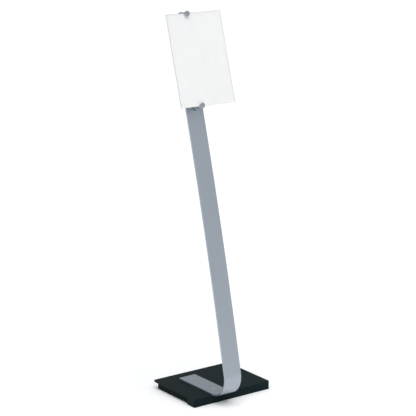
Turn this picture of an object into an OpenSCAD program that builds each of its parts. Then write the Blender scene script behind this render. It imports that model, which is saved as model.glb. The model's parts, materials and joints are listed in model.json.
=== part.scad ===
// Floor-standing sign stand: weighted base, one-piece bent strip arm, and an A4 double-plate
// display that turns a quarter circle between upright and sideways, held by two thumb knobs.
// Millimetres. Origin: middle of the base on the floor. X right, Y to the back, Z up.

/* [Base] */
// Width of the base, left to right
base_w = 305; // [290:5:360]
// Depth of the base, front to back
base_d = 230; // [220:5:280]
// Height of the base's top face above the floor
base_h = 28.5; // [27:0.5:34]
// Thickness of the cover's top plate
cover_t = 6.5; // [5.5:0.5:8]
// Depth of the full-height nose along the front of the base
nose_d = 42; // [42:1:55]
// Thickness of the nose's front and side walls
nose_wall = 4; // [3:0.5:5]
// How far the ballast sits in from the cover's left and right edges
side_recess = 6; // [4.5:0.5:10]
// How far the ballast sits in from the cover's back edge
back_recess = 14; // [12:1:35]
// Thickness of the rubber mat under the base
mat_t = 2; // [1.5:0.5:3]

/* [Arm] */
// Width of the flat strip
arm_w = 65; // [60:1:75]
// Thickness of the flat strip
arm_t = 5; // [4:0.5:6]
// Sideways place of the strip's centre line, left of the base's middle
arm_x = -50; // [-60:1:0]
// Place of the foot's back end, measured from the middle of the base
foot_back_y = 70; // [60:1:90]
// Place where the foot starts to bend, measured from the middle of the base
bend_y = -115; // [-125:1:-115]
// Outside radius of the bend in front of the base
bend_r = 68; // [55:1:75]
// Lean of the strip just above the bend, from upright
lean_low = 12.4; // [8:0.05:14]
// Lean of the strip at the display, from upright
lean_top = 16.6; // [15:0.1:20]
// Radius of the strip's long gentle bow
bow_r = 12900; // [10000:100:14000]
// Straight length from the end of the bow up to the pivot
tip_len = 35; // [32:1:80]

/* [Display] */
// Width of each plate in the upright position
plate_w = 210; // [148:1:297]
// Height of each plate in the upright position
plate_h = 300; // [213:1:423]
// Thickness of each plate
plate_t = 3; // [2:0.5:4]
// Thickness of the sheet between the plates
sheet_t = 0.3; // [0.2:0.1:1]
// Plate centre to the right of the pivot
centre_right = 32.8; // [0:0.1:40]
// Plate centre above the pivot
centre_up = 28.7; // [0:0.1:40]
// Knob centre in from each short edge
knob_inset = 3; // [3:0.5:6]
// Diameter of the knobs
knob_dia = 18; // [16:0.5:22]
// Length of each spacer behind the plates
sleeve_len = 20.7; // [18:0.1:30]

/* [Carrier] */
// Width of the carrier bar
bar_w = 22; // [18:1:28]
// Thickness of the carrier bar
bar_t = 5; // [4:0.5:6]
// Bar's centre line to the right of the pivot
bar_right = 5.5; // [0:0.5:8]
// Diameter of the round hub on the bar
hub_dia = 60; // [58:1:64]

/* [Hidden] */
$fn = 64;

// Clearances
fit_gap = 0.05;
turn_gap = 0.1;
bolt_gap = 0.2;
press_gap = 0.02;
hair = 0.001;
eps = 0.5;
spare = 0.5;

// Base levels and screws
cover_edge_r = 3;
nose_lift = 1;
plate_z = base_h - cover_t;
ballast_t = (plate_z - mat_t) / 2;
front_y = -base_d / 2;
nose_back_y = front_y + nose_d;
ballast_w = base_w - 2 * side_recess;
ballast_back_y = base_d / 2 - back_recess;
ballast_gap = 1;
ballast_front_y = nose_back_y + ballast_gap;
ballast_corner_r = 3;
nose_bar_gap = 0.5;
nose_bar_corner_r = 2;
mat_inset = 4.5;
mat_front_gap = 1.5;
mat_corner_r = 6;
mat_w = ballast_w - 2 * mat_inset;
mat_front_y = front_y + nose_wall + mat_front_gap;
mat_back_y = ballast_back_y - mat_inset;
base_screw_r = 3;
base_screw_head_r = 6;
base_screw_drive_r = 2.2;
base_screw_skin = 1.5;
base_screw_grip = cover_t - base_screw_skin;
base_screw_side_in = 27;
base_screw_end_in = 18;
base_screw_x = ballast_w / 2 - base_screw_side_in;
base_screw_y = [
    front_y + nose_d / 2,
    ballast_front_y + base_screw_end_in,
    ballast_back_y - base_screw_end_in
];

// Foot screws, on the strip's centre line
foot_screw_r = 3;
foot_screw_head_r = 5.6;
foot_screw_drive_r = 2;
foot_screw_len = 19;
foot_bore_spare = 1;
foot_screw_y = [-78, 40];
foot_corner = 1.5;

// Arm's path in the Y-Z plane: foot, bend, bow, straight tip
bend_z = base_h + bend_r;
bow_y = bend_y + (bow_r - bend_r) * cos(lean_low);
bow_z = bend_z - (bow_r - bend_r) * sin(lean_low);
tip_y = bow_y - bow_r * cos(lean_top);
tip_z = bow_z + bow_r * sin(lean_top);
pivot_y = tip_y + tip_len * sin(lean_top);
pivot_z = tip_z + tip_len * cos(lean_top);
bend_steps = 48;
bow_steps = 32;

// Pivot hardware, measured forward from the strip's front face
bolt_r = 4;
bolt_hole_r = bolt_r + bolt_gap;
friction_t = 1.5;
friction_r = 26;
bar_back = friction_t + fit_gap;
bar_front = bar_back + bar_t;
bush_r = 6;
bush_flange_r = 10;
bush_flange_t = 1.5;
thrust_back = bar_front + bush_flange_t + fit_gap;
thrust_t = 1.2;
spring_back = thrust_back + thrust_t;
spring_t = 0.8;
spring_rise = 0.5;
nut_back = spring_back + 2 * spring_t + 2 * spring_rise;
spring_r = 8.5;
nut_t = 6.5;
nut_flats = 13;
collar_t = 1.5;
collar_inset = 0.4;
bolt_past = 1.5;
bolt_tip = nut_back + nut_t + collar_t + bolt_past;
washer_r = 12;
washer_t = 1.6;
bolt_head_r = 8;
bolt_head_t = 4.4;
bolt_dome_r = 2.2;
bolt_drive_r = 2.9;
bolt_drive_depth = 2.6;

// Quarter-turn stop: a pin in the strip and an arc slot in the hub
stop_r = 22;
stop_pin_r = 2.5;
stop_slot_r = stop_pin_r + bolt_gap;
stop_pin_below = 0.5;
stop_sweep = 90;

// Standoffs and plates
sleeve_r = 7;
sleeve_front = bar_front + sleeve_len;
rear_washer_t = 1;
back_plate_back = sleeve_front + rear_washer_t;
sheet_back = back_plate_back + plate_t;
front_plate_back = sheet_back + sheet_t;
front_plate_front = front_plate_back + plate_t;
knob_washer_t = 0.8;
knob_back = front_plate_front + knob_washer_t;
knob_t = 4.6;
knob_edge_r = 0.9;
stud_r = 3;
stud_len = 20;
stud_depth = sleeve_front - (knob_back - stud_len) + spare;
notch_gap = 0.3;
notch_r = stud_r + notch_gap;
knob_washer_in = 0.8;
plate_corner_r = 1.5;
sheet_side_margin = 0.5;
sheet_end_margin = 1.5;
sheet_corner_r = 1;
sheet_notch_gap = 0.7;
standoff_screw_r = 2.5;
standoff_screw_head_r = 4.6;
standoff_screw_drive_r = 1.7;
standoff_screw_len = 11.5;
knob_up = centre_up + plate_h / 2 - knob_inset;
knob_down = centre_up - plate_h / 2 + knob_inset;
knob_places = [[bar_right, knob_up], [bar_right, knob_down]];

// ---------------------------------------------------------------- shared shapes

// A flat rectangle with round corners
module round_rect(w, d, r) {
    square([w - 2 * r, d], center = true);
    square([w, d - 2 * r], center = true);
    for (sx = [-1, 1])
        for (sy = [-1, 1])
            translate([sx * (w / 2 - r), sy * (d / 2 - r)])
                circle(r);
}

// A plate between two Y values, centred on x = 0
module slab(w, y0, y1, z0, z1, r) {
    translate([0, (y0 + y1) / 2, z0])
        linear_extrude(z1 - z0)
            round_rect(w, y1 - y0, r);
}

// A ring standing on its back face
module ring(r_out, r_in, t) {
    difference() {
        cylinder(h = t, r = r_out);
        translate([0, 0, -eps])
            cylinder(h = t + 2 * eps, r = r_in);
    }
}

// A countersunk screw: head face at z = 0, shank towards -Z
module flat_screw(r, head_r, len, drive_r) {
    head_t = head_r - r;
    drive_share = 0.8;
    difference() {
        union() {
            translate([0, 0, -head_t])
                cylinder(h = head_t, r1 = r, r2 = head_r);
            translate([0, 0, -len])
                cylinder(h = len - head_t, r = r);
        }
        translate([0, 0, -drive_share * head_t])
            cylinder(h = head_t, r = drive_r, $fn = 6);
    }
}

// The room that a countersunk screw takes in the part it passes through
module flat_screw_hole(r, head_r, len) {
    head_t = head_r - r;
    translate([0, 0, -head_t])
        cylinder(h = head_t + hair, r1 = r, r2 = head_r + hair);
    translate([0, 0, -len])
        cylinder(h = len - head_t / 2, r = r);
    cylinder(h = eps, r = head_r + hair);
}

// Points on an arc in the Y-Z plane; angle 0 is straight down, growing to the front
function arc_points(y, z, r, from, to, steps) = [
    for (i = [0 : steps])
        let (a = from + (to - from) * i / steps)
            [y - r * sin(a), z - r * cos(a)]
];

// One face of the strip from the foot's back end to past the tip, a distance in from the outside
function strip_face(inset) =
    let (
        bend = arc_points(bend_y, bend_z, bend_r - inset, 0, 90 + lean_low, bend_steps),
        bow = arc_points(bow_y, bow_z, bow_r - inset, 90 + lean_low, 90 + lean_top, bow_steps),
        past = tip_len + arm_w
    )
    concat(
        [[foot_back_y, base_h + inset]],
        bend,
        [for (i = [1 : bow_steps]) bow[i]],
        [[
            tip_y + past * sin(lean_top) + inset * cos(lean_top),
            tip_z + past * cos(lean_top) - inset * sin(lean_top)
        ]]
    );

function backwards(list) = [for (i = [len(list) - 1 : -1 : 0]) list[i]];

// The display's frame: origin on the pivot at the strip's front face, Y up along the strip,
// Z out of the front face towards the reader
module at_head() {
    translate([arm_x, pivot_y, pivot_z])
        rotate([90 - lean_top, 0, 0])
            children();
}

// ---------------------------------------------------------------- base

module base_screw_places() {
    for (sx = [-1, 1])
        for (y = base_screw_y)
            translate([sx * base_screw_x, y, mat_t])
                children();
}

module base_screw_holes() {
    base_screw_places()
        rotate([180, 0, 0])
            flat_screw_hole(base_screw_r + fit_gap, base_screw_head_r, base_h);
}

module foot_screw_places() {
    for (y = foot_screw_y)
        translate([arm_x, y, base_h + arm_t])
            children();
}

module foot_screw_bores() {
    foot_screw_places()
        translate([0, 0, -foot_screw_len - foot_bore_spare])
            cylinder(h = foot_screw_len + 2 * foot_bore_spare, r = foot_screw_r + fit_gap);
}

module floor_mat() {
    color([0.10, 0.10, 0.11])
        slab(mat_w, mat_front_y, mat_back_y, 0, mat_t, mat_corner_r);
}

// One ballast plate, standing at a level
module ballast_plate(level) {
    slab(ballast_w, ballast_front_y, ballast_back_y, level, level + ballast_t, ballast_corner_r);
}

module ballast_lower() {
    color([0.15, 0.15, 0.16])
        difference() {
            ballast_plate(mat_t);
            base_screw_holes();
        }
}

module ballast_upper() {
    color([0.15, 0.15, 0.16])
        difference() {
            ballast_plate(mat_t + ballast_t);
            base_screw_holes();
            foot_screw_bores();
        }
}

module nose_bar() {
    bar_edge = nose_wall + nose_bar_gap;
    color([0.30, 0.30, 0.31])
        difference() {
            slab(
                base_w - 2 * bar_edge, front_y + bar_edge, nose_back_y,
                mat_t, plate_z, nose_bar_corner_r
            );
            base_screw_holes();
            foot_screw_bores();
        }
}

module base_cover() {
    thread_top = plate_z + base_screw_grip + fit_gap;
    color([0.13, 0.13, 0.14])
        difference() {
            union() {
                slab(base_w, front_y, base_d / 2, plate_z, base_h, cover_edge_r);
                slab(base_w, front_y, nose_back_y, nose_lift, base_h, cover_edge_r);
            }
            translate([0, (front_y + nose_wall + nose_back_y + eps) / 2, nose_lift - eps])
                linear_extrude(plate_z - nose_lift + eps)
                    square([base_w - 2 * nose_wall, nose_d - nose_wall + eps], center = true);
            base_screw_places()
                translate([0, 0, plate_z - mat_t - eps])
                    cylinder(h = thread_top - plate_z + eps, r = base_screw_r + fit_gap);
            foot_screw_bores();
        }
}

module base_screws() {
    color([0.55, 0.56, 0.58])
        base_screw_places()
            rotate([180, 0, 0])
                flat_screw(
                    base_screw_r, base_screw_head_r,
                    plate_z - mat_t + base_screw_grip, base_screw_drive_r
                );
}

// ---------------------------------------------------------------- arm

// The strip's outline as seen from the front, round at the top, pushed through its whole depth
module strip_outline() {
    below = 1.3 * pivot_z;
    behind = 0.5 * pivot_z;
    in_front = 0.2 * pivot_z;
    at_head()
        translate([0, 0, -behind])
            linear_extrude(behind + in_front) {
                translate([-arm_w / 2, -below])
                    square([arm_w, below]);
                circle(arm_w / 2, $fn = 128);
            }
}

module foot_corner_cuts() {
    for (side = [-1, 1])
        translate([arm_x + side * arm_w / 2, foot_back_y, base_h - eps])
            rotate([0, 0, -45 * side])
                translate([-2 * foot_corner, -foot_corner / sqrt(2), 0])
                    cube([4 * foot_corner, 2 * foot_corner, arm_t + 2 * eps]);
}

module arm() {
    side_w = arm_w + 20;
    color([0.62, 0.65, 0.67])
        difference() {
            intersection() {
                translate([arm_x - side_w / 2, 0, 0])
                    rotate([90, 0, 90])
                        linear_extrude(side_w)
                            polygon(concat(strip_face(0), backwards(strip_face(arm_t))));
                strip_outline();
            }
            foot_corner_cuts();
            foot_screw_places()
                flat_screw_hole(foot_screw_r + fit_gap, foot_screw_head_r, foot_screw_len);
            at_head() {
                translate([0, 0, -arm_t - eps])
                    cylinder(h = arm_t + 2 * eps, r = bolt_hole_r);
                translate([0, -stop_r, -arm_t - eps])
                    cylinder(h = arm_t + 2 * eps, r = stop_pin_r + press_gap);
            }
        }
}

module foot_screws() {
    color([0.70, 0.71, 0.73])
        foot_screw_places()
            flat_screw(foot_screw_r, foot_screw_head_r, foot_screw_len, foot_screw_drive_r);
}

// ---------------------------------------------------------------- pivot, held by the arm

module stop_pin() {
    color([0.45, 0.46, 0.48])
        at_head()
            translate([0, -stop_r, -arm_t])
                cylinder(h = arm_t + bar_front - stop_pin_below, r = stop_pin_r);
}

module pivot_washer() {
    color([0.72, 0.73, 0.75])
        at_head()
            translate([0, 0, -arm_t - washer_t])
                ring(washer_r, bolt_hole_r, washer_t);
}

module pivot_bolt() {
    head_back = -arm_t - washer_t - bolt_head_t;
    color([0.60, 0.61, 0.63])
        at_head()
            difference() {
                union() {
                    translate([0, 0, -arm_t - washer_t])
                        cylinder(h = arm_t + washer_t + bolt_tip, r = bolt_r);
                    translate([0, 0, head_back])
                        rotate_extrude() {
                            translate([0, bolt_dome_r])
                                square([bolt_head_r, bolt_head_t - bolt_dome_r]);
                            square([bolt_head_r - bolt_dome_r, bolt_head_t]);
                            intersection() {
                                translate([bolt_head_r - bolt_dome_r, bolt_dome_r])
                                    circle(bolt_dome_r);
                                square([bolt_head_r, bolt_head_t]);
                            }
                        }
                }
                translate([0, 0, head_back - eps])
                    cylinder(h = bolt_drive_depth + eps, r = bolt_drive_r, $fn = 6);
            }
}

module friction_disc() {
    color([0.90, 0.89, 0.84])
        at_head()
            difference() {
                ring(friction_r, bolt_hole_r, friction_t);
                translate([0, -stop_r, -eps])
                    cylinder(h = friction_t + 2 * eps, r = stop_slot_r);
            }
}

module thrust_washer() {
    color([0.72, 0.73, 0.75])
        at_head()
            translate([0, 0, thrust_back])
                ring(bush_flange_r, bolt_r + turn_gap, thrust_t);
}

// Two conical springs, the wide rims meeting
module disc_springs() {
    r_in = bolt_r + turn_gap;
    color([0.50, 0.51, 0.53])
        at_head()
            translate([0, 0, spring_back + spring_t + spring_rise])
                for (up = [0, 1])
                    mirror([0, 0, up])
                        rotate_extrude()
                            polygon([
                                [r_in, spring_rise],
                                [spring_r, 0],
                                [spring_r, spring_t],
                                [r_in, spring_rise + spring_t]
                            ]);
}

module lock_nut() {
    color([0.66, 0.67, 0.69])
        at_head()
            translate([0, 0, nut_back])
                difference() {
                    union() {
                        cylinder(h = nut_t, r = nut_flats / 2 / cos(30), $fn = 6);
                        cylinder(h = nut_t + collar_t, r = nut_flats / 2 - collar_inset);
                    }
                    translate([0, 0, -eps])
                        cylinder(h = nut_t + collar_t + 2 * eps, r = bolt_r + press_gap);
                }
}

// ---------------------------------------------------------------- turning carrier and plates

// The path that the stop pin takes through the hub, a quarter circle
module stop_slot() {
    translate([0, 0, -eps]) {
        rotate([0, 0, -90])
            rotate_extrude(angle = stop_sweep)
                translate([stop_r - stop_slot_r, 0])
                    square([2 * stop_slot_r, bar_t + 2 * eps]);
        for (turn = [0, stop_sweep])
            rotate([0, 0, turn - 90])
                translate([stop_r, 0, 0])
                    cylinder(h = bar_t + 2 * eps, r = stop_slot_r);
    }
}

module carrier() {
    color([0.66, 0.69, 0.71])
        at_head()
            translate([0, 0, bar_back])
                difference() {
                    union() {
                        cylinder(h = bar_t, r = hub_dia / 2, $fn = 128);
                        translate([bar_right - bar_w / 2, knob_down, 0])
                            cube([bar_w, knob_up - knob_down, bar_t]);
                        for (p = knob_places)
                            translate([p[0], p[1], 0])
                                cylinder(h = bar_t, r = bar_w / 2);
                    }
                    translate([0, 0, -eps])
                        cylinder(h = bar_t + 2 * eps, r = bush_r + press_gap);
                    stop_slot();
                    for (p = knob_places)
                        translate([p[0], p[1], 0])
                            rotate([180, 0, 0])
                                flat_screw_hole(
                                    standoff_screw_r + fit_gap,
                                    standoff_screw_head_r, bar_t + eps
                                );
                }
}

module pivot_bush() {
    color([0.72, 0.55, 0.30])
        at_head()
            difference() {
                union() {
                    translate([0, 0, bar_back + fit_gap])
                        cylinder(h = bar_t - fit_gap + bush_flange_t, r = bush_r);
                    translate([0, 0, bar_front])
                        cylinder(h = bush_flange_t, r = bush_flange_r);
                }
                cylinder(h = thrust_back + eps, r = bolt_r + fit_gap);
            }
}

module standoff_screws() {
    color([0.55, 0.56, 0.58])
        at_head()
            for (p = knob_places)
                translate([p[0], p[1], bar_back])
                    rotate([180, 0, 0])
                        flat_screw(
                            standoff_screw_r, standoff_screw_head_r,
                            standoff_screw_len, standoff_screw_drive_r
                        );
}

module standoff_sleeves() {
    screw_depth = standoff_screw_len - bar_t + spare;
    color([0.30, 0.31, 0.33])
        at_head()
            for (p = knob_places)
                translate([p[0], p[1], bar_front])
                    difference() {
                        cylinder(h = sleeve_len, r = sleeve_r);
                        translate([0, 0, -eps])
                            cylinder(h = screw_depth + eps, r = standoff_screw_r + fit_gap);
                        translate([0, 0, sleeve_len - stud_depth])
                            cylinder(h = stud_depth + eps, r = stud_r + fit_gap);
                    }
}

module rear_washers() {
    color([0.85, 0.87, 0.88])
        at_head()
            for (p = knob_places)
                translate([p[0], p[1], sleeve_front])
                    ring(sleeve_r, notch_r, rear_washer_t);
}

// A plate or sheet in the display, with an open notch at each knob
module display_leaf(w, h, t, corner_r, cut_r) {
    difference() {
        translate([centre_right, centre_up, 0])
            linear_extrude(t)
                round_rect(w, h, corner_r);
        for (side = [-1, 1]) {
            knob_y = centre_up + side * (plate_h / 2 - knob_inset);
            translate([bar_right, knob_y, -eps])
                cylinder(h = t + 2 * eps, r = cut_r);
            translate([bar_right - cut_r, knob_y - (side < 0 ? 2 * knob_inset : 0), -eps])
                cube([2 * cut_r, 2 * knob_inset, t + 2 * eps]);
        }
    }
}

module back_plate() {
    color([0.88, 0.90, 0.92, 0.6])
        at_head()
            translate([0, 0, back_plate_back])
                display_leaf(plate_w, plate_h, plate_t, plate_corner_r, notch_r);
}

module insert_sheet() {
    color([0.96, 0.96, 0.96])
        at_head()
            translate([0, 0, sheet_back])
                display_leaf(
                    plate_w - 2 * sheet_side_margin, plate_h - 2 * sheet_end_margin,
                    sheet_t, sheet_corner_r, notch_r + sheet_notch_gap
                );
}

module front_plate() {
    color([0.88, 0.90, 0.92, 0.6])
        at_head()
            translate([0, 0, front_plate_back])
                display_leaf(plate_w, plate_h, plate_t, plate_corner_r, notch_r);
}

// ---------------------------------------------------------------- knobs

module knob_washer(p) {
    color([0.85, 0.87, 0.88])
        at_head()
            translate([p[0], p[1], front_plate_front])
                ring(knob_dia / 2 - knob_washer_in, stud_r + fit_gap, knob_washer_t);
}

// A round cap with a softened front edge, on a stud that screws into the spacer
module knob(p) {
    r = knob_dia / 2;
    color([0.28, 0.29, 0.31])
        at_head()
            translate([p[0], p[1], knob_back]) {
                rotate_extrude() {
                    square([r, knob_t - knob_edge_r]);
                    square([r - knob_edge_r, knob_t]);
                    translate([r - knob_edge_r, knob_t - knob_edge_r])
                        circle(knob_edge_r);
                }
                translate([0, 0, -stud_len])
                    cylinder(h = stud_len + eps, r = stud_r);
            }
}

module upper_knob_washer() {
    knob_washer(knob_places[0]);
}

module upper_knob() {
    knob(knob_places[0]);
}

module lower_knob_washer() {
    knob_washer(knob_places[1]);
}

module lower_knob() {
    knob(knob_places[1]);
}

floor_mat();
ballast_lower();
ballast_upper();
nose_bar();
base_cover();
base_screws();
arm();
foot_screws();
stop_pin();
pivot_bolt();
pivot_washer();
friction_disc();
thrust_washer();
disc_springs();
lock_nut();
carrier();
pivot_bush();
standoff_screws();
standoff_sleeves();
rear_washers();
back_plate();
insert_sheet();
front_plate();
upper_knob_washer();
upper_knob();
lower_knob_washer();
lower_knob();
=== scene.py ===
import json
import math

import bmesh
import bpy
from mathutils import Matrix, Vector


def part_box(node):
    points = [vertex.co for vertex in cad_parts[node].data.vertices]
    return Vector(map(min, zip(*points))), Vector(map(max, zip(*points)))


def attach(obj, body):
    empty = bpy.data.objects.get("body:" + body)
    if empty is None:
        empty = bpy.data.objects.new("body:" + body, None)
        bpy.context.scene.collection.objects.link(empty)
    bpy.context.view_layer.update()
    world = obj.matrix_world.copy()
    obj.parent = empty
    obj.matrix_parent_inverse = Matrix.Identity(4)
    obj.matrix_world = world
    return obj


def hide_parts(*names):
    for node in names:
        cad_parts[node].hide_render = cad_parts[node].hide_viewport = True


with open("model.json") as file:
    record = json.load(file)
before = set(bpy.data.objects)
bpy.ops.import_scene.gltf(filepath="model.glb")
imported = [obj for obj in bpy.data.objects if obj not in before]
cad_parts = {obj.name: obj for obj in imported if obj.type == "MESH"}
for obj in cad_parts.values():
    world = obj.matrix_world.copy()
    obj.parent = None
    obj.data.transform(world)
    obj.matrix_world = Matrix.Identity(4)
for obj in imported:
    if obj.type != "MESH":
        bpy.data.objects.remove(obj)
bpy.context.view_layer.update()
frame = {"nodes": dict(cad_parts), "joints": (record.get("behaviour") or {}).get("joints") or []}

# Sign stand: weighted base, bent strip arm, and a turning display of two clear plates round a
# blank card. Metres, in the CAD model's frame: X right, Y to the back, Z up.

# ---------------------------------------------------------------- places, from the frame

pivot_joint = next(j for j in frame["joints"] if j["name"] == "display_turn")
pivot = Vector(pivot_joint["pos_m"])
normal = -Vector(pivot_joint["axis"])
across = Vector((1, 0, 0))
upward = normal.cross(across)
head = Matrix.Translation(pivot) @ Matrix((across, upward, normal)).transposed().to_4x4()
to_head = head.inverted()

base_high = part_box("base_cover")[1]
arm_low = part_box("arm")[0]

# The strip's path, as in the CAD model
BEND_R = 0.068
BOW_R = 12.9
LEAN_LOW = math.radians(12.4)
bend_y = arm_low.y + BEND_R
bend_z = base_high.z + BEND_R


# ---------------------------------------------------------------- mesh helpers

SAME_POINT = 1e-6
FLAT_ANGLE = math.radians(0.03)
SHARP_ANGLE = math.radians(35)
SMOOTH_UP_TO = 32
LATHE_SMOOTH_UP_TO = 40
LATHE_STEPS = 96
ON_AXIS = 1e-7


def new_object(name, mesh):
    piece = bpy.data.objects.new(name, mesh)
    bpy.context.scene.collection.objects.link(piece)
    return piece


def finish_mesh(bm, name, smooth_deg=SMOOTH_UP_TO):
    """Writes a bmesh to a new object, smooth but for edges sharper than smooth_deg."""
    mesh = bpy.data.meshes.new(name)
    bmesh.ops.recalc_face_normals(bm, faces=bm.faces)
    bm.to_mesh(mesh)
    bm.free()
    mesh.polygons.foreach_set("use_smooth", [True] * len(mesh.polygons))
    mesh.set_sharp_from_angle(angle=math.radians(smooth_deg))
    piece = new_object(name, mesh)
    weighted = piece.modifiers.new("face_normals", "WEIGHTED_NORMAL")
    weighted.keep_sharp = True
    weighted.weight = 100
    return piece


def softened(name, node, width, segments=3):
    """A copy of a CAD node's solid with its edges rounded to a width."""
    bm = bmesh.new()
    bm.from_mesh(frame["nodes"][node].data)
    bmesh.ops.remove_doubles(bm, verts=bm.verts, dist=SAME_POINT)
    bmesh.ops.dissolve_limit(bm, angle_limit=FLAT_ANGLE, verts=bm.verts, edges=bm.edges)
    sharp = [e for e in bm.edges if len(e.link_faces) == 2 and e.calc_face_angle() > SHARP_ANGLE]
    bmesh.ops.bevel(bm, geom=sharp, offset=width, offset_type="OFFSET", segments=segments,
                    profile=0.5, affect="EDGES", clamp_overlap=True)
    return finish_mesh(bm, name)


def lathe(name, outline, steps=LATHE_STEPS):
    """Turns an outline of (radius, height) points about the local Z axis."""
    bm = bmesh.new()
    rings = []
    for r, h in outline:
        if r < ON_AXIS:
            rings.append([bm.verts.new((0, 0, h))])
        else:
            turn = [2 * math.pi * i / steps for i in range(steps)]
            rings.append([bm.verts.new((r * math.cos(a), r * math.sin(a), h)) for a in turn])
    for low, high in zip(rings, rings[1:]):
        for i in range(steps):
            j = (i + 1) % steps
            corners = [low[i % len(low)], low[j % len(low)]]
            corners += [high[j % len(high)], high[i % len(high)]]
            bm.faces.new(list(dict.fromkeys(corners)))
    return finish_mesh(bm, name, LATHE_SMOOTH_UP_TO)


def arc(cx, cz, r, start, end, steps=8):
    """Points on a circle arc, angles in degrees from the +radius direction."""
    turn = [math.radians(start + (end - start) * i / steps) for i in range(steps + 1)]
    return [(cx + r * math.cos(a), cz + r * math.sin(a)) for a in turn]


def vector_attribute(piece, name, rule):
    """Stores rule(point) on each vertex, so that a finish follows the piece and not the world."""
    mesh = piece.data
    layer = mesh.attributes.new(name, "FLOAT_VECTOR", "POINT")
    values = []
    for v in mesh.vertices:
        values.extend(rule(v.co))
    layer.data.foreach_set("vector", values)


def strip_coords(p):
    """(across, along, depth) of a point on the strip, along from where the foot starts to bend."""
    if p.y > bend_y and p.z < bend_z:
        return p.x, bend_y - p.y, p.z - base_high.z
    turn = math.atan2(bend_y - p.y, bend_z - p.z)
    start_bow = math.pi / 2 + LEAN_LOW
    if 0 <= turn < start_bow and p.z < bend_z + BEND_R:
        return p.x, BEND_R * turn, BEND_R - math.hypot(p.y - bend_y, p.z - bend_z)
    bow_y = bend_y + (BOW_R - BEND_R) * math.cos(LEAN_LOW)
    bow_z = bend_z - (BOW_R - BEND_R) * math.sin(LEAN_LOW)
    turn = math.atan2(bow_y - p.y, bow_z - p.z)
    along = BEND_R * start_bow + BOW_R * (turn - start_bow)
    return p.x, along, BOW_R - math.hypot(p.y - bow_y, p.z - bow_z)


def head_coords(p):
    """A point's place in the display's own frame."""
    return tuple(to_head @ p)


# ---------------------------------------------------------------- materials

def new_material(name):
    """A material with one Principled shader, and that shader."""
    mat = bpy.data.materials.new(name)
    mat.use_nodes = True
    nodes = mat.node_tree.nodes
    nodes.clear()
    out = nodes.new("ShaderNodeOutputMaterial")
    shader = nodes.new("ShaderNodeBsdfPrincipled")
    mat.node_tree.links.new(shader.outputs["BSDF"], out.inputs["Surface"])
    return mat, shader


class Graph:
    """Short calls for adding nodes to one material."""

    def __init__(self, mat):
        self.tree = mat.node_tree

    def node(self, kind, **values):
        made = self.tree.nodes.new(kind)
        for key, value in values.items():
            setattr(made, key, value)
        return made

    def link(self, a, b):
        self.tree.links.new(a, b)

    def coords(self, attribute=None, scale=(1, 1, 1)):
        """Position on the piece, from a stored attribute or the object's own space, stretched."""
        if attribute:
            place = self.node("ShaderNodeAttribute", attribute_name=attribute).outputs["Vector"]
        else:
            place = self.node("ShaderNodeTexCoord").outputs["Object"]
        stretch = self.node("ShaderNodeVectorMath", operation="MULTIPLY")
        stretch.inputs[1].default_value = scale
        self.link(place, stretch.inputs[0])
        return stretch.outputs[0]

    def noise(self, vector, scale, detail=2.0, rough=0.5):
        n = self.node("ShaderNodeTexNoise")
        n.inputs["Scale"].default_value = scale
        n.inputs["Detail"].default_value = detail
        n.inputs["Roughness"].default_value = rough
        self.link(vector, n.inputs["Vector"])
        return n.outputs["Fac"]

    def spread(self, value, low, high, from_low=0.3, from_high=0.7):
        """Maps a noise value to a range."""
        m = self.node("ShaderNodeMapRange")
        m.inputs["From Min"].default_value = from_low
        m.inputs["From Max"].default_value = from_high
        m.inputs["To Min"].default_value = low
        m.inputs["To Max"].default_value = high
        self.link(value, m.inputs["Value"])
        return m.outputs["Result"]

    def mix(self, factor, a, b):
        """Blends two colours by a factor."""
        m = self.node("ShaderNodeMix", data_type="RGBA")
        self.link(factor, m.inputs[0])
        for socket, colour in ((m.inputs[6], a), (m.inputs[7], b)):
            if isinstance(colour, tuple):
                socket.default_value = (*colour, 1)
            else:
                self.link(colour, socket)
        return m.outputs[2]

    def sum(self, a, b, weight):
        """a + b * weight."""
        m = self.node("ShaderNodeMath", operation="MULTIPLY_ADD")
        self.link(b, m.inputs[0])
        m.inputs[1].default_value = weight
        self.link(a, m.inputs[2])
        return m.outputs[0]

    def bump(self, height, distance, strength=1.0, under=None):
        b = self.node("ShaderNodeBump")
        b.inputs["Distance"].default_value = distance
        b.inputs["Strength"].default_value = strength
        self.link(height, b.inputs["Height"])
        if under is not None:
            self.link(under, b.inputs["Normal"])
        return b.outputs["Normal"]

    # Mask of sharp edges: rubbed edges on the powder coat, a painted highlight on the aluminium
    def wear_and_highlight_edges(self, radius, low=0.02, high=0.25):
        """High where the surface turns sharply within a radius."""
        rounded = self.node("ShaderNodeBevel", samples=4)
        rounded.inputs["Radius"].default_value = radius
        plain = self.node("ShaderNodeNewGeometry").outputs["Normal"]
        apart = self.node("ShaderNodeVectorMath", operation="DISTANCE")
        self.link(rounded.outputs["Normal"], apart.inputs[0])
        self.link(plain, apart.inputs[1])
        return self.spread(apart.outputs["Value"], 0, 1, low, high)


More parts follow.
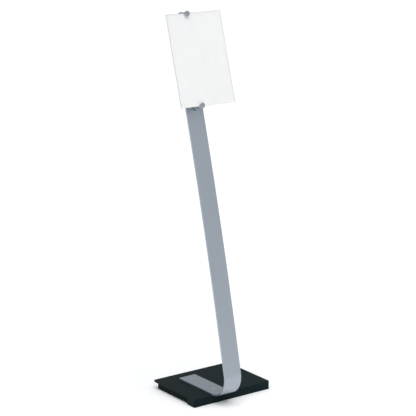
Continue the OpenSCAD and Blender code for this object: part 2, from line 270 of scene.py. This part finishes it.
def powder_coat(name, dark, light, rough, gloss, gloss_tint):
    """Black textured powder coat: a fine pebbled skin, a slow change of shade, edges rubbed paler."""
    mat, shader = new_material(name)
    g = Graph(mat)
    place = g.coords()
    shade = g.spread(g.noise(place, 9, 4), 0, 1)
    colour = g.mix(shade, dark, light)
    rubbed = g.node("ShaderNodeMath", operation="MULTIPLY")
    g.link(g.wear_and_highlight_edges(0.0012), rubbed.inputs[0])
    g.link(g.spread(g.noise(place, 60, 3), 0, 0.5, 0.42, 0.72), rubbed.inputs[1])
    pale = tuple(c * 3.2 + 0.01 for c in light)
    g.link(g.mix(rubbed.outputs[0], colour, pale), shader.inputs["Base Color"])
    g.link(g.spread(g.noise(place, 35, 3), rough - 0.02, rough + 0.025), shader.inputs["Roughness"])
    shader.inputs["Specular IOR Level"].default_value = gloss
    shader.inputs["Specular Tint"].default_value = (*gloss_tint, 1)
    pebble = g.noise(place, 650, 2)
    g.link(g.bump(pebble, 0.00016, 0.6), shader.inputs["Normal"])
    return mat


def satin_aluminium(name, attribute, colour, rough, metallic):
    """Anodised aluminium: fine grain along the piece, faint handling marks, and a painted highlight
    that makes the edges a little brighter.
    """
    mat, shader = new_material(name)
    g = Graph(mat)
    grain = g.noise(g.coords(attribute, (1400, 9, 1400)), 1.0, 3, 0.6)
    broad = g.noise(g.coords(attribute, (14, 3, 14)), 1.0, 3)
    tint = g.mix(g.spread(grain, 0, 1), tuple(c * 0.955 for c in colour), colour)
    # Painted highlight: the sharp edges are painted brighter, standing in for edges that catch the
    # light
    painted_edge_highlight = tuple(min(1, c * 1.35) for c in colour)
    g.link(g.mix(g.wear_and_highlight_edges(0.0009, 0.05, 0.6), tint, painted_edge_highlight), shader.inputs["Base Color"])
    rub = g.sum(g.spread(broad, rough - 0.03, rough + 0.04), g.spread(grain, -1, 1), 0.02)
    g.link(rub, shader.inputs["Roughness"])
    shader.inputs["Metallic"].default_value = metallic
    g.link(g.bump(grain, 0.00002, 0.5), shader.inputs["Normal"])
    return mat


def turned_metal(name, colour, rough, rings=9000):
    """Turned metal: fine rings round the piece's own axis, which is the Z of its stored place."""
    mat, shader = new_material(name)
    g = Graph(mat)
    place = g.coords("own_place")
    flat = g.node("ShaderNodeVectorMath", operation="MULTIPLY")
    flat.inputs[1].default_value = (1, 1, 0)
    g.link(place, flat.inputs[0])
    radius = g.node("ShaderNodeVectorMath", operation="LENGTH")
    g.link(flat.outputs[0], radius.inputs[0])
    wave = g.node("ShaderNodeMath", operation="MULTIPLY")
    wave.inputs[1].default_value = rings
    g.link(radius.outputs["Value"], wave.inputs[0])
    lines = g.node("ShaderNodeMath", operation="SINE")
    g.link(wave.outputs[0], lines.inputs[0])
    smudge = g.noise(place, 220, 3)
    g.link(g.mix(g.spread(smudge, 0, 1), tuple(c * 0.85 for c in colour), colour),
           shader.inputs["Base Color"])
    g.link(g.spread(smudge, rough - 0.05, rough + 0.07), shader.inputs["Roughness"])
    shader.inputs["Metallic"].default_value = 1.0
    g.link(g.bump(lines.outputs[0], 0.000015, 0.35), shader.inputs["Normal"])
    return mat


def plated_steel(name, colour, rough):
    """Zinc plate, spring steel, bronze or satin metal: clouded, with tiny pits."""
    mat, shader = new_material(name)
    g = Graph(mat)
    place = g.coords()
    cloud = g.noise(place, 180, 4, 0.6)
    g.link(g.mix(g.spread(cloud, 0, 1), tuple(c * 0.8 for c in colour), colour),
           shader.inputs["Base Color"])
    g.link(g.spread(cloud, rough - 0.06, rough + 0.1), shader.inputs["Roughness"])
    shader.inputs["Metallic"].default_value = 1.0
    g.link(g.bump(g.noise(place, 1500, 2), 0.00003, 0.4), shader.inputs["Normal"])
    return mat


def plain_plastic(name, colour, rough, grain_scale, depth):
    """Nylon and silicone parts: a slight mottle and a fine surface grain."""
    mat, shader = new_material(name)
    g = Graph(mat)
    place = g.coords()
    mottle = g.noise(place, 90, 3)
    g.link(g.mix(g.spread(mottle, 0, 1), tuple(c * 0.86 for c in colour), colour),
           shader.inputs["Base Color"])
    g.link(g.spread(mottle, rough - 0.05, rough + 0.06), shader.inputs["Roughness"])
    g.link(g.bump(g.noise(place, grain_scale, 2), depth, 0.6), shader.inputs["Normal"])
    return mat


def ribbed_rubber(name):
    """The floor mat: fine ribs from front to back under a matt skin."""
    mat, shader = new_material(name)
    g = Graph(mat)
    ribs = g.node("ShaderNodeTexWave", wave_type="BANDS", bands_direction="X")
    ribs.inputs["Scale"].default_value = 110
    ribs.inputs["Distortion"].default_value = 0.0
    g.link(g.coords(), ribs.inputs["Vector"])
    mottle = g.noise(g.coords(), 70, 4)
    g.link(g.mix(g.spread(mottle, 0, 1), (0.012, 0.012, 0.012), (0.024, 0.024, 0.025)),
           shader.inputs["Base Color"])
    g.link(g.spread(mottle, 0.75, 0.9), shader.inputs["Roughness"])
    g.link(g.bump(ribs.outputs["Fac"], 0.0005, 0.8), shader.inputs["Normal"])
    return mat


def clear_acrylic(name, tint):
    """Clear polished acrylic: see-through, with a gloss that grows towards a grazing view."""
    mat, shader = new_material(name)
    g = Graph(mat)
    place = g.coords("own_place")
    facing = g.node("ShaderNodeLayerWeight").outputs["Facing"]
    steep = g.node("ShaderNodeMath", operation="POWER")
    steep.inputs[1].default_value = 5
    g.link(facing, steep.inputs[0])
    gloss = g.spread(steep.outputs[0], 0.04, 1.0, 0, 1)
    haze = g.noise(place, 30, 3)
    clear = g.node("ShaderNodeBsdfTransparent")
    g.link(g.mix(g.spread(haze, 0, 1), tuple(c * 0.99 for c in tint), tint), clear.inputs["Color"])
    shader.inputs["Base Color"].default_value = (0.9, 0.92, 0.94, 1)
    g.link(g.spread(haze, 0.03, 0.08), shader.inputs["Roughness"])
    shader.inputs["Metallic"].default_value = 1.0
    g.link(g.bump(g.noise(place, 25, 2), 0.00004, 0.5), shader.inputs["Normal"])
    both = g.node("ShaderNodeMixShader")
    g.link(gloss, both.inputs[0])
    g.link(clear.outputs[0], both.inputs[1])
    g.link(shader.outputs[0], both.inputs[2])
    g.link(both.outputs[0], g.tree.nodes["Material Output"].inputs["Surface"])
    return mat


def sawn_acrylic(name, colour):
    """Sawn acrylic edge: pale, frosted by fine saw marks across the thickness."""
    mat, shader = new_material(name)
    g = Graph(mat)
    marks = g.noise(g.coords("own_place", (2600, 2600, 60)), 1.0, 3)
    g.link(g.mix(g.spread(marks, 0, 1), tuple(c * 0.9 for c in colour), colour),
           shader.inputs["Base Color"])
    g.link(g.spread(marks, 0.35, 0.5), shader.inputs["Roughness"])
    g.link(g.spread(marks, 0.72, 0.82), shader.inputs["Alpha"])
    g.link(g.bump(marks, 0.00003, 0.5), shader.inputs["Normal"])
    return mat


def card(name):
    """Smooth blank card with a trace of fibre."""
    mat, shader = new_material(name)
    g = Graph(mat)
    place = g.coords()
    fibre = g.noise(g.coords(None, (900, 900, 300)), 1.0, 4, 0.65)
    tone = g.noise(place, 12, 2)
    shade = g.sum(g.spread(fibre, 0, 0.6), g.spread(tone, 0, 1), 0.4)
    g.link(g.mix(shade, (0.88, 0.872, 0.872), (0.905, 0.892, 0.892)),
           shader.inputs["Base Color"])
    g.link(g.spread(fibre, 0.62, 0.74), shader.inputs["Roughness"])
    shader.inputs["Specular IOR Level"].default_value = 0.3
    g.link(g.bump(fibre, 0.00003, 0.35), shader.inputs["Normal"])
    return mat


def floor_finish(name):
    """Plain pale floor with a faint change of tone."""
    mat, shader = new_material(name)
    g = Graph(mat)
    tone = g.noise(g.coords(), 3, 3)
    g.link(g.mix(g.spread(tone, 0, 1), (0.93, 0.93, 0.93), (0.95, 0.95, 0.95)),
           shader.inputs["Base Color"])
    g.link(g.spread(tone, 0.7, 0.8), shader.inputs["Roughness"])
    shader.inputs["Specular IOR Level"].default_value = 0.1
    return mat


STRIP_COLOUR = (0.402, 0.442, 0.492)
STRIP_ROUGH = 0.36
STRIP_METALLIC = 0.85
TEAL_GLOSS = (0.5, 0.9, 1.0)
cover_paint = powder_coat("cover_paint", (0.0012, 0.0045, 0.0056), (0.0019, 0.0056, 0.007), 0.57,
                          0.17, TEAL_GLOSS)
ballast_paint = powder_coat("ballast_paint", (0.002, 0.005, 0.006), (0.004, 0.007, 0.008), 0.65,
                            0.10, TEAL_GLOSS)
mat_rubber = ribbed_rubber("mat_rubber")
strip_metal = satin_aluminium("strip_aluminium", "strip_place", STRIP_COLOUR, STRIP_ROUGH,
                              STRIP_METALLIC)
bar_metal = satin_aluminium("bar_aluminium", "own_place", STRIP_COLOUR, STRIP_ROUGH, STRIP_METALLIC)
knob_metal = turned_metal("knob_metal", (0.46, 0.465, 0.50), 0.28)
sleeve_metal = plated_steel("sleeve_metal", (0.46, 0.47, 0.50), 0.3)
screw_metal = plated_steel("plated_steel", (0.56, 0.57, 0.58), 0.3)
# Painted highlight: the foot screws' steel is paler and bluer than the other screws', standing in for
# the glints on their heads
screw_painted_highlight = plated_steel("screw_painted_highlight", (0.66, 0.74, 0.82), 0.22)
spring_metal = plated_steel("spring_steel", (0.30, 0.30, 0.32), 0.35)
bronze = plated_steel("bronze", (0.55, 0.38, 0.18), 0.4)
nylon = plain_plastic("nylon", (0.78, 0.77, 0.70), 0.5, 700, 0.00005)
silicone = plain_plastic("silicone", (0.72, 0.75, 0.77), 0.35, 600, 0.00003)
acrylic_face = clear_acrylic("acrylic_face", (0.99, 0.99, 0.988))
acrylic_edge = sawn_acrylic("acrylic_edge", (0.66, 0.69, 0.73))
blank_card = card("blank_card")


def paint(piece, mat):
    piece.data.materials.clear()
    piece.data.materials.append(mat)


def stands_for(piece, node, body, mat):
    """Puts a finished piece in place of a CAD node."""
    paint(piece, mat)
    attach(piece, body)
    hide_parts(node)
    return piece


# Width of each piece's rounded edges; the small parts' widths are in their own table
COVER_EDGE = 0.0010
BALLAST_EDGE = 0.0006
STRIP_EDGE = 0.0009
BAR_EDGE = 0.0005
PLATE_EDGE = 0.0003
SHEET_EDGE = 0.00002

# ---------------------------------------------------------------- base and arm

cover = softened("cover", "base_cover", COVER_EDGE)
stands_for(cover, "base_cover", "stand", cover_paint)
for node in ("ballast_lower", "ballast_upper"):
    ballast = softened(node + "_plate", node, BALLAST_EDGE)
    stands_for(ballast, node, "stand", ballast_paint)

strip = softened("arm_strip", "arm", STRIP_EDGE)
vector_attribute(strip, "strip_place", strip_coords)
stands_for(strip, "arm", "stand", strip_metal)

# ---------------------------------------------------------------- display

# A plate's face is clear where it points this nearly along the normal, and frosted elsewhere
FACE_ALIGNMENT = 0.95

bar = softened("carrier_bar", "carrier", BAR_EDGE)
vector_attribute(bar, "own_place", head_coords)
stands_for(bar, "carrier", "display", bar_metal)

for node in ("back_plate", "front_plate"):
    plate = softened(node + "_acrylic", node, PLATE_EDGE, 2)
    vector_attribute(plate, "own_place", head_coords)
    stands_for(plate, node, "display", acrylic_face)
    plate.data.materials.append(acrylic_edge)
    for polygon in plate.data.polygons:
        if abs(polygon.normal.dot(normal)) < FACE_ALIGNMENT:
            polygon.material_index = 1


# ---------------------------------------------------------------- knobs and spacers

def head_box(node):
    """Lowest and highest corner of a CAD node in the display's own frame."""
    places = [to_head @ v.co for v in frame["nodes"][node].data.vertices]
    low = Vector(min(p[i] for p in places) for i in range(3))
    high = Vector(max(p[i] for p in places) for i in range(3))
    return low, high


def set_in_head(piece, x, y, z):
    """Moves a mesh made about its own axis to a place in the display's frame."""
    vector_attribute(piece, "own_place", tuple)
    piece.data.transform(head @ Matrix.Translation((x, y, z)))


# A hair of air under each knob, so that its face and its washer's don't coincide
SEAT_GAP = 0.00004


STUD_R = 0.003
STUD_CHAMFER = 0.0005
SEAT_CHAMFER = 0.0005
SEAT_CHAMFER_TOP = 0.0004
GROOVE_DEPTH = 0.00035
GROOVE_HEIGHTS = (0.0010, 0.0012, 0.0016, 0.0018)
RIM_R = 0.0009
LIP_OUTER = 0.0022
LIP_INNER = 0.0026
LIP_DEPTH = 0.0002
DISH_R = 0.004
DISH_DEPTH = 0.00035
DISH_MIDDLE_DEPTH = 0.0004


def make_knob(which):
    """A turned cap: dished face, rounded rim, a fine groove round its side, and its stud."""
    low, high = head_box(which + "_knob")
    seat = head_box(which + "_knob_washer")[1].z
    r = (high.x - low.x) / 2
    top = high.z - seat
    tip = low.z - seat
    groove_r = r - GROOVE_DEPTH
    outline = [(0, tip), (STUD_R - STUD_CHAMFER, tip), (STUD_R, tip + STUD_CHAMFER)]
    outline += [(STUD_R, SEAT_GAP), (r - SEAT_CHAMFER, SEAT_GAP), (r, SEAT_CHAMFER_TOP)]
    outline += zip((r, groove_r, groove_r, r), GROOVE_HEIGHTS)
    outline += arc(r - RIM_R, top - RIM_R, RIM_R, 0, 90)
    outline += [(r - LIP_OUTER, top), (r - LIP_INNER, top - LIP_DEPTH)]
    outline += [(DISH_R, top - DISH_DEPTH), (0, top - DISH_MIDDLE_DEPTH)]
    knob = lathe(which + "_thumb_knob", outline)
    set_in_head(knob, (low.x + high.x) / 2, (low.y + high.y) / 2, seat)
    stands_for(knob, which + "_knob", which + "_knob", knob_metal)


for which in ("upper", "lower"):
    make_knob(which)

# ---------------------------------------------------------------- sheet, washers and fixings

# The sheet is drawn a hair thinner than the gap that holds it, so that no two faces coincide
SHEET_SQUEEZE = 0.7
sheet = softened("blank_sheet", "insert_sheet", SHEET_EDGE, 1)
depths = [(to_head @ v.co).z for v in sheet.data.vertices]
middle = (min(depths) + max(depths)) / 2
for v, depth in zip(sheet.data.vertices, depths):
    v.co += normal * (middle - depth) * (1 - SHEET_SQUEEZE)
stands_for(sheet, "insert_sheet", "display", blank_card)

# Node: body, slot, finish, width of its rounded edges
SMALL_PARTS = {
    "floor_mat": ("stand", "mat_rubber", mat_rubber, 0.0004),
    "nose_bar": ("stand", "ballast_paint", ballast_paint, 0.0004),
    "base_screws": ("stand", "plated_steel", screw_metal, 0.0002),
    # The foot screws' steel carries a painted highlight
    "foot_screws": ("stand", "plated_steel", screw_painted_highlight, 0.0005),
    "stop_pin": ("stand", "plated_steel", screw_metal, 0.0003),
    "pivot_bolt": ("stand", "plated_steel", screw_metal, 0.0003),
    "pivot_washer": ("stand", "plated_steel", screw_metal, 0.0002),
    "friction_disc": ("stand", "nylon", nylon, 0.0002),
    "thrust_washer": ("stand", "plated_steel", screw_metal, 0.0002),
    "disc_springs": ("stand", "spring_steel", spring_metal, 0.0001),
    "lock_nut": ("stand", "plated_steel", screw_metal, 0.0003),
    "pivot_bush": ("display", "bronze", bronze, 0.0002),
    "standoff_screws": ("display", "plated_steel", screw_metal, 0.0002),
    "standoff_sleeves": ("display", "knob_metal", sleeve_metal, 0.0005),
    "rear_washers": ("display", "soft_washer", silicone, 0.0002),
    "upper_knob_washer": ("upper_knob_seat", "soft_washer", silicone, 0.0002),
    "lower_knob_washer": ("lower_knob_seat", "soft_washer", silicone, 0.0002),
}
for node, (body, slot, mat, width) in SMALL_PARTS.items():
    stands_for(softened(node + "_part", node, width, 2), node, body, mat)

# ---------------------------------------------------------------- floor, light, camera

FLOOR_HALF = 40.0
FLOOR_DROP = 0.0003
bpy.ops.mesh.primitive_plane_add(size=2 * FLOOR_HALF, location=(0, 0, -FLOOR_DROP))
floor = bpy.context.object
floor.name = "floor"
paint(floor, floor_finish("floor_finish"))

# A dim pale room gives the light, less of it from the back; the camera sees it as a white backdrop
ROOM_FRONT = 0.70
ROOM_BACK = 0.48
BACKDROP_WHITE = 1.15
ROOM_COLOUR = (0.95, 0.98, 1.0, 1)
world = bpy.data.worlds.new("studio")
bpy.context.scene.world = world
world.use_nodes = True
tree = world.node_tree
room = tree.nodes["Background"]
room.inputs["Color"].default_value = ROOM_COLOUR
direction = tree.nodes.new("ShaderNodeTexCoord")
parts = tree.nodes.new("ShaderNodeSeparateXYZ")
fade = tree.nodes.new("ShaderNodeMapRange")
fade.interpolation_type = "SMOOTHSTEP"
fade.inputs["From Min"].default_value = -1
fade.inputs["From Max"].default_value = 1
fade.inputs["To Min"].default_value = ROOM_FRONT
fade.inputs["To Max"].default_value = ROOM_BACK
tree.links.new(direction.outputs["Generated"], parts.inputs[0])
tree.links.new(parts.outputs["Y"], fade.inputs["Value"])
tree.links.new(fade.outputs["Result"], room.inputs["Strength"])
backdrop = tree.nodes.new("ShaderNodeBackground")
backdrop.inputs["Color"].default_value = (1, 1, 1, 1)
backdrop.inputs["Strength"].default_value = BACKDROP_WHITE
seen_by = tree.nodes.new("ShaderNodeLightPath")
choose = tree.nodes.new("ShaderNodeMixShader")
tree.links.new(seen_by.outputs["Is Camera Ray"], choose.inputs[0])
tree.links.new(room.outputs[0], choose.inputs[1])
tree.links.new(backdrop.outputs[0], choose.inputs[2])
tree.links.new(choose.outputs[0], tree.nodes["World Output"].inputs["Surface"])


def aimed(name, light, place, target):
    """Adds a light at a place, turned to a target."""
    lamp = bpy.data.objects.new(name, light)
    lamp.location = place
    lamp.rotation_euler = (Vector(target) - Vector(place)).to_track_quat("-Z", "Y").to_euler()
    bpy.context.scene.collection.objects.link(lamp)


KEY_ENERGY = 2.0
KEY_ANGLE = math.radians(60)
KEY_PLACE = (-0.8, -1.7, 4.2)
key = bpy.data.lights.new("key", "SUN")
key.energy = KEY_ENERGY
key.angle = KEY_ANGLE
aimed("key", key, KEY_PLACE, (0, 0, 0))

CAMERA_AZIMUTH = math.radians(-36.59)
CAMERA_ELEVATION = math.radians(13.94)
CAMERA_DISTANCE = 5.246
CAMERA_ROLL = math.radians(0.26)
CAMERA_LENS = 140.6
SENSOR_WIDTH = 36
CLIP_END = 200
orbit_centre = Vector((0, 0, 0.6))
aim = Vector((-0.0092, 0.0115, 0.6151))
back = Vector((math.sin(CAMERA_AZIMUTH) * math.cos(CAMERA_ELEVATION),
               -math.cos(CAMERA_AZIMUTH) * math.cos(CAMERA_ELEVATION),
               math.sin(CAMERA_ELEVATION)))
camera = bpy.data.objects.new("camera", bpy.data.cameras.new("camera"))
camera.location = orbit_centre + back * CAMERA_DISTANCE
camera.data.lens = CAMERA_LENS
camera.data.sensor_width = SENSOR_WIDTH
camera.data.clip_end = CLIP_END
facing = (aim - camera.location).to_track_quat("-Z", "Y").to_matrix()
camera.rotation_euler = (facing @ Matrix.Rotation(CAMERA_ROLL, 3, "Z")).to_euler()
bpy.context.scene.collection.objects.link(camera)
bpy.context.scene.camera = camera
bpy.context.scene.view_settings.view_transform = "Standard"
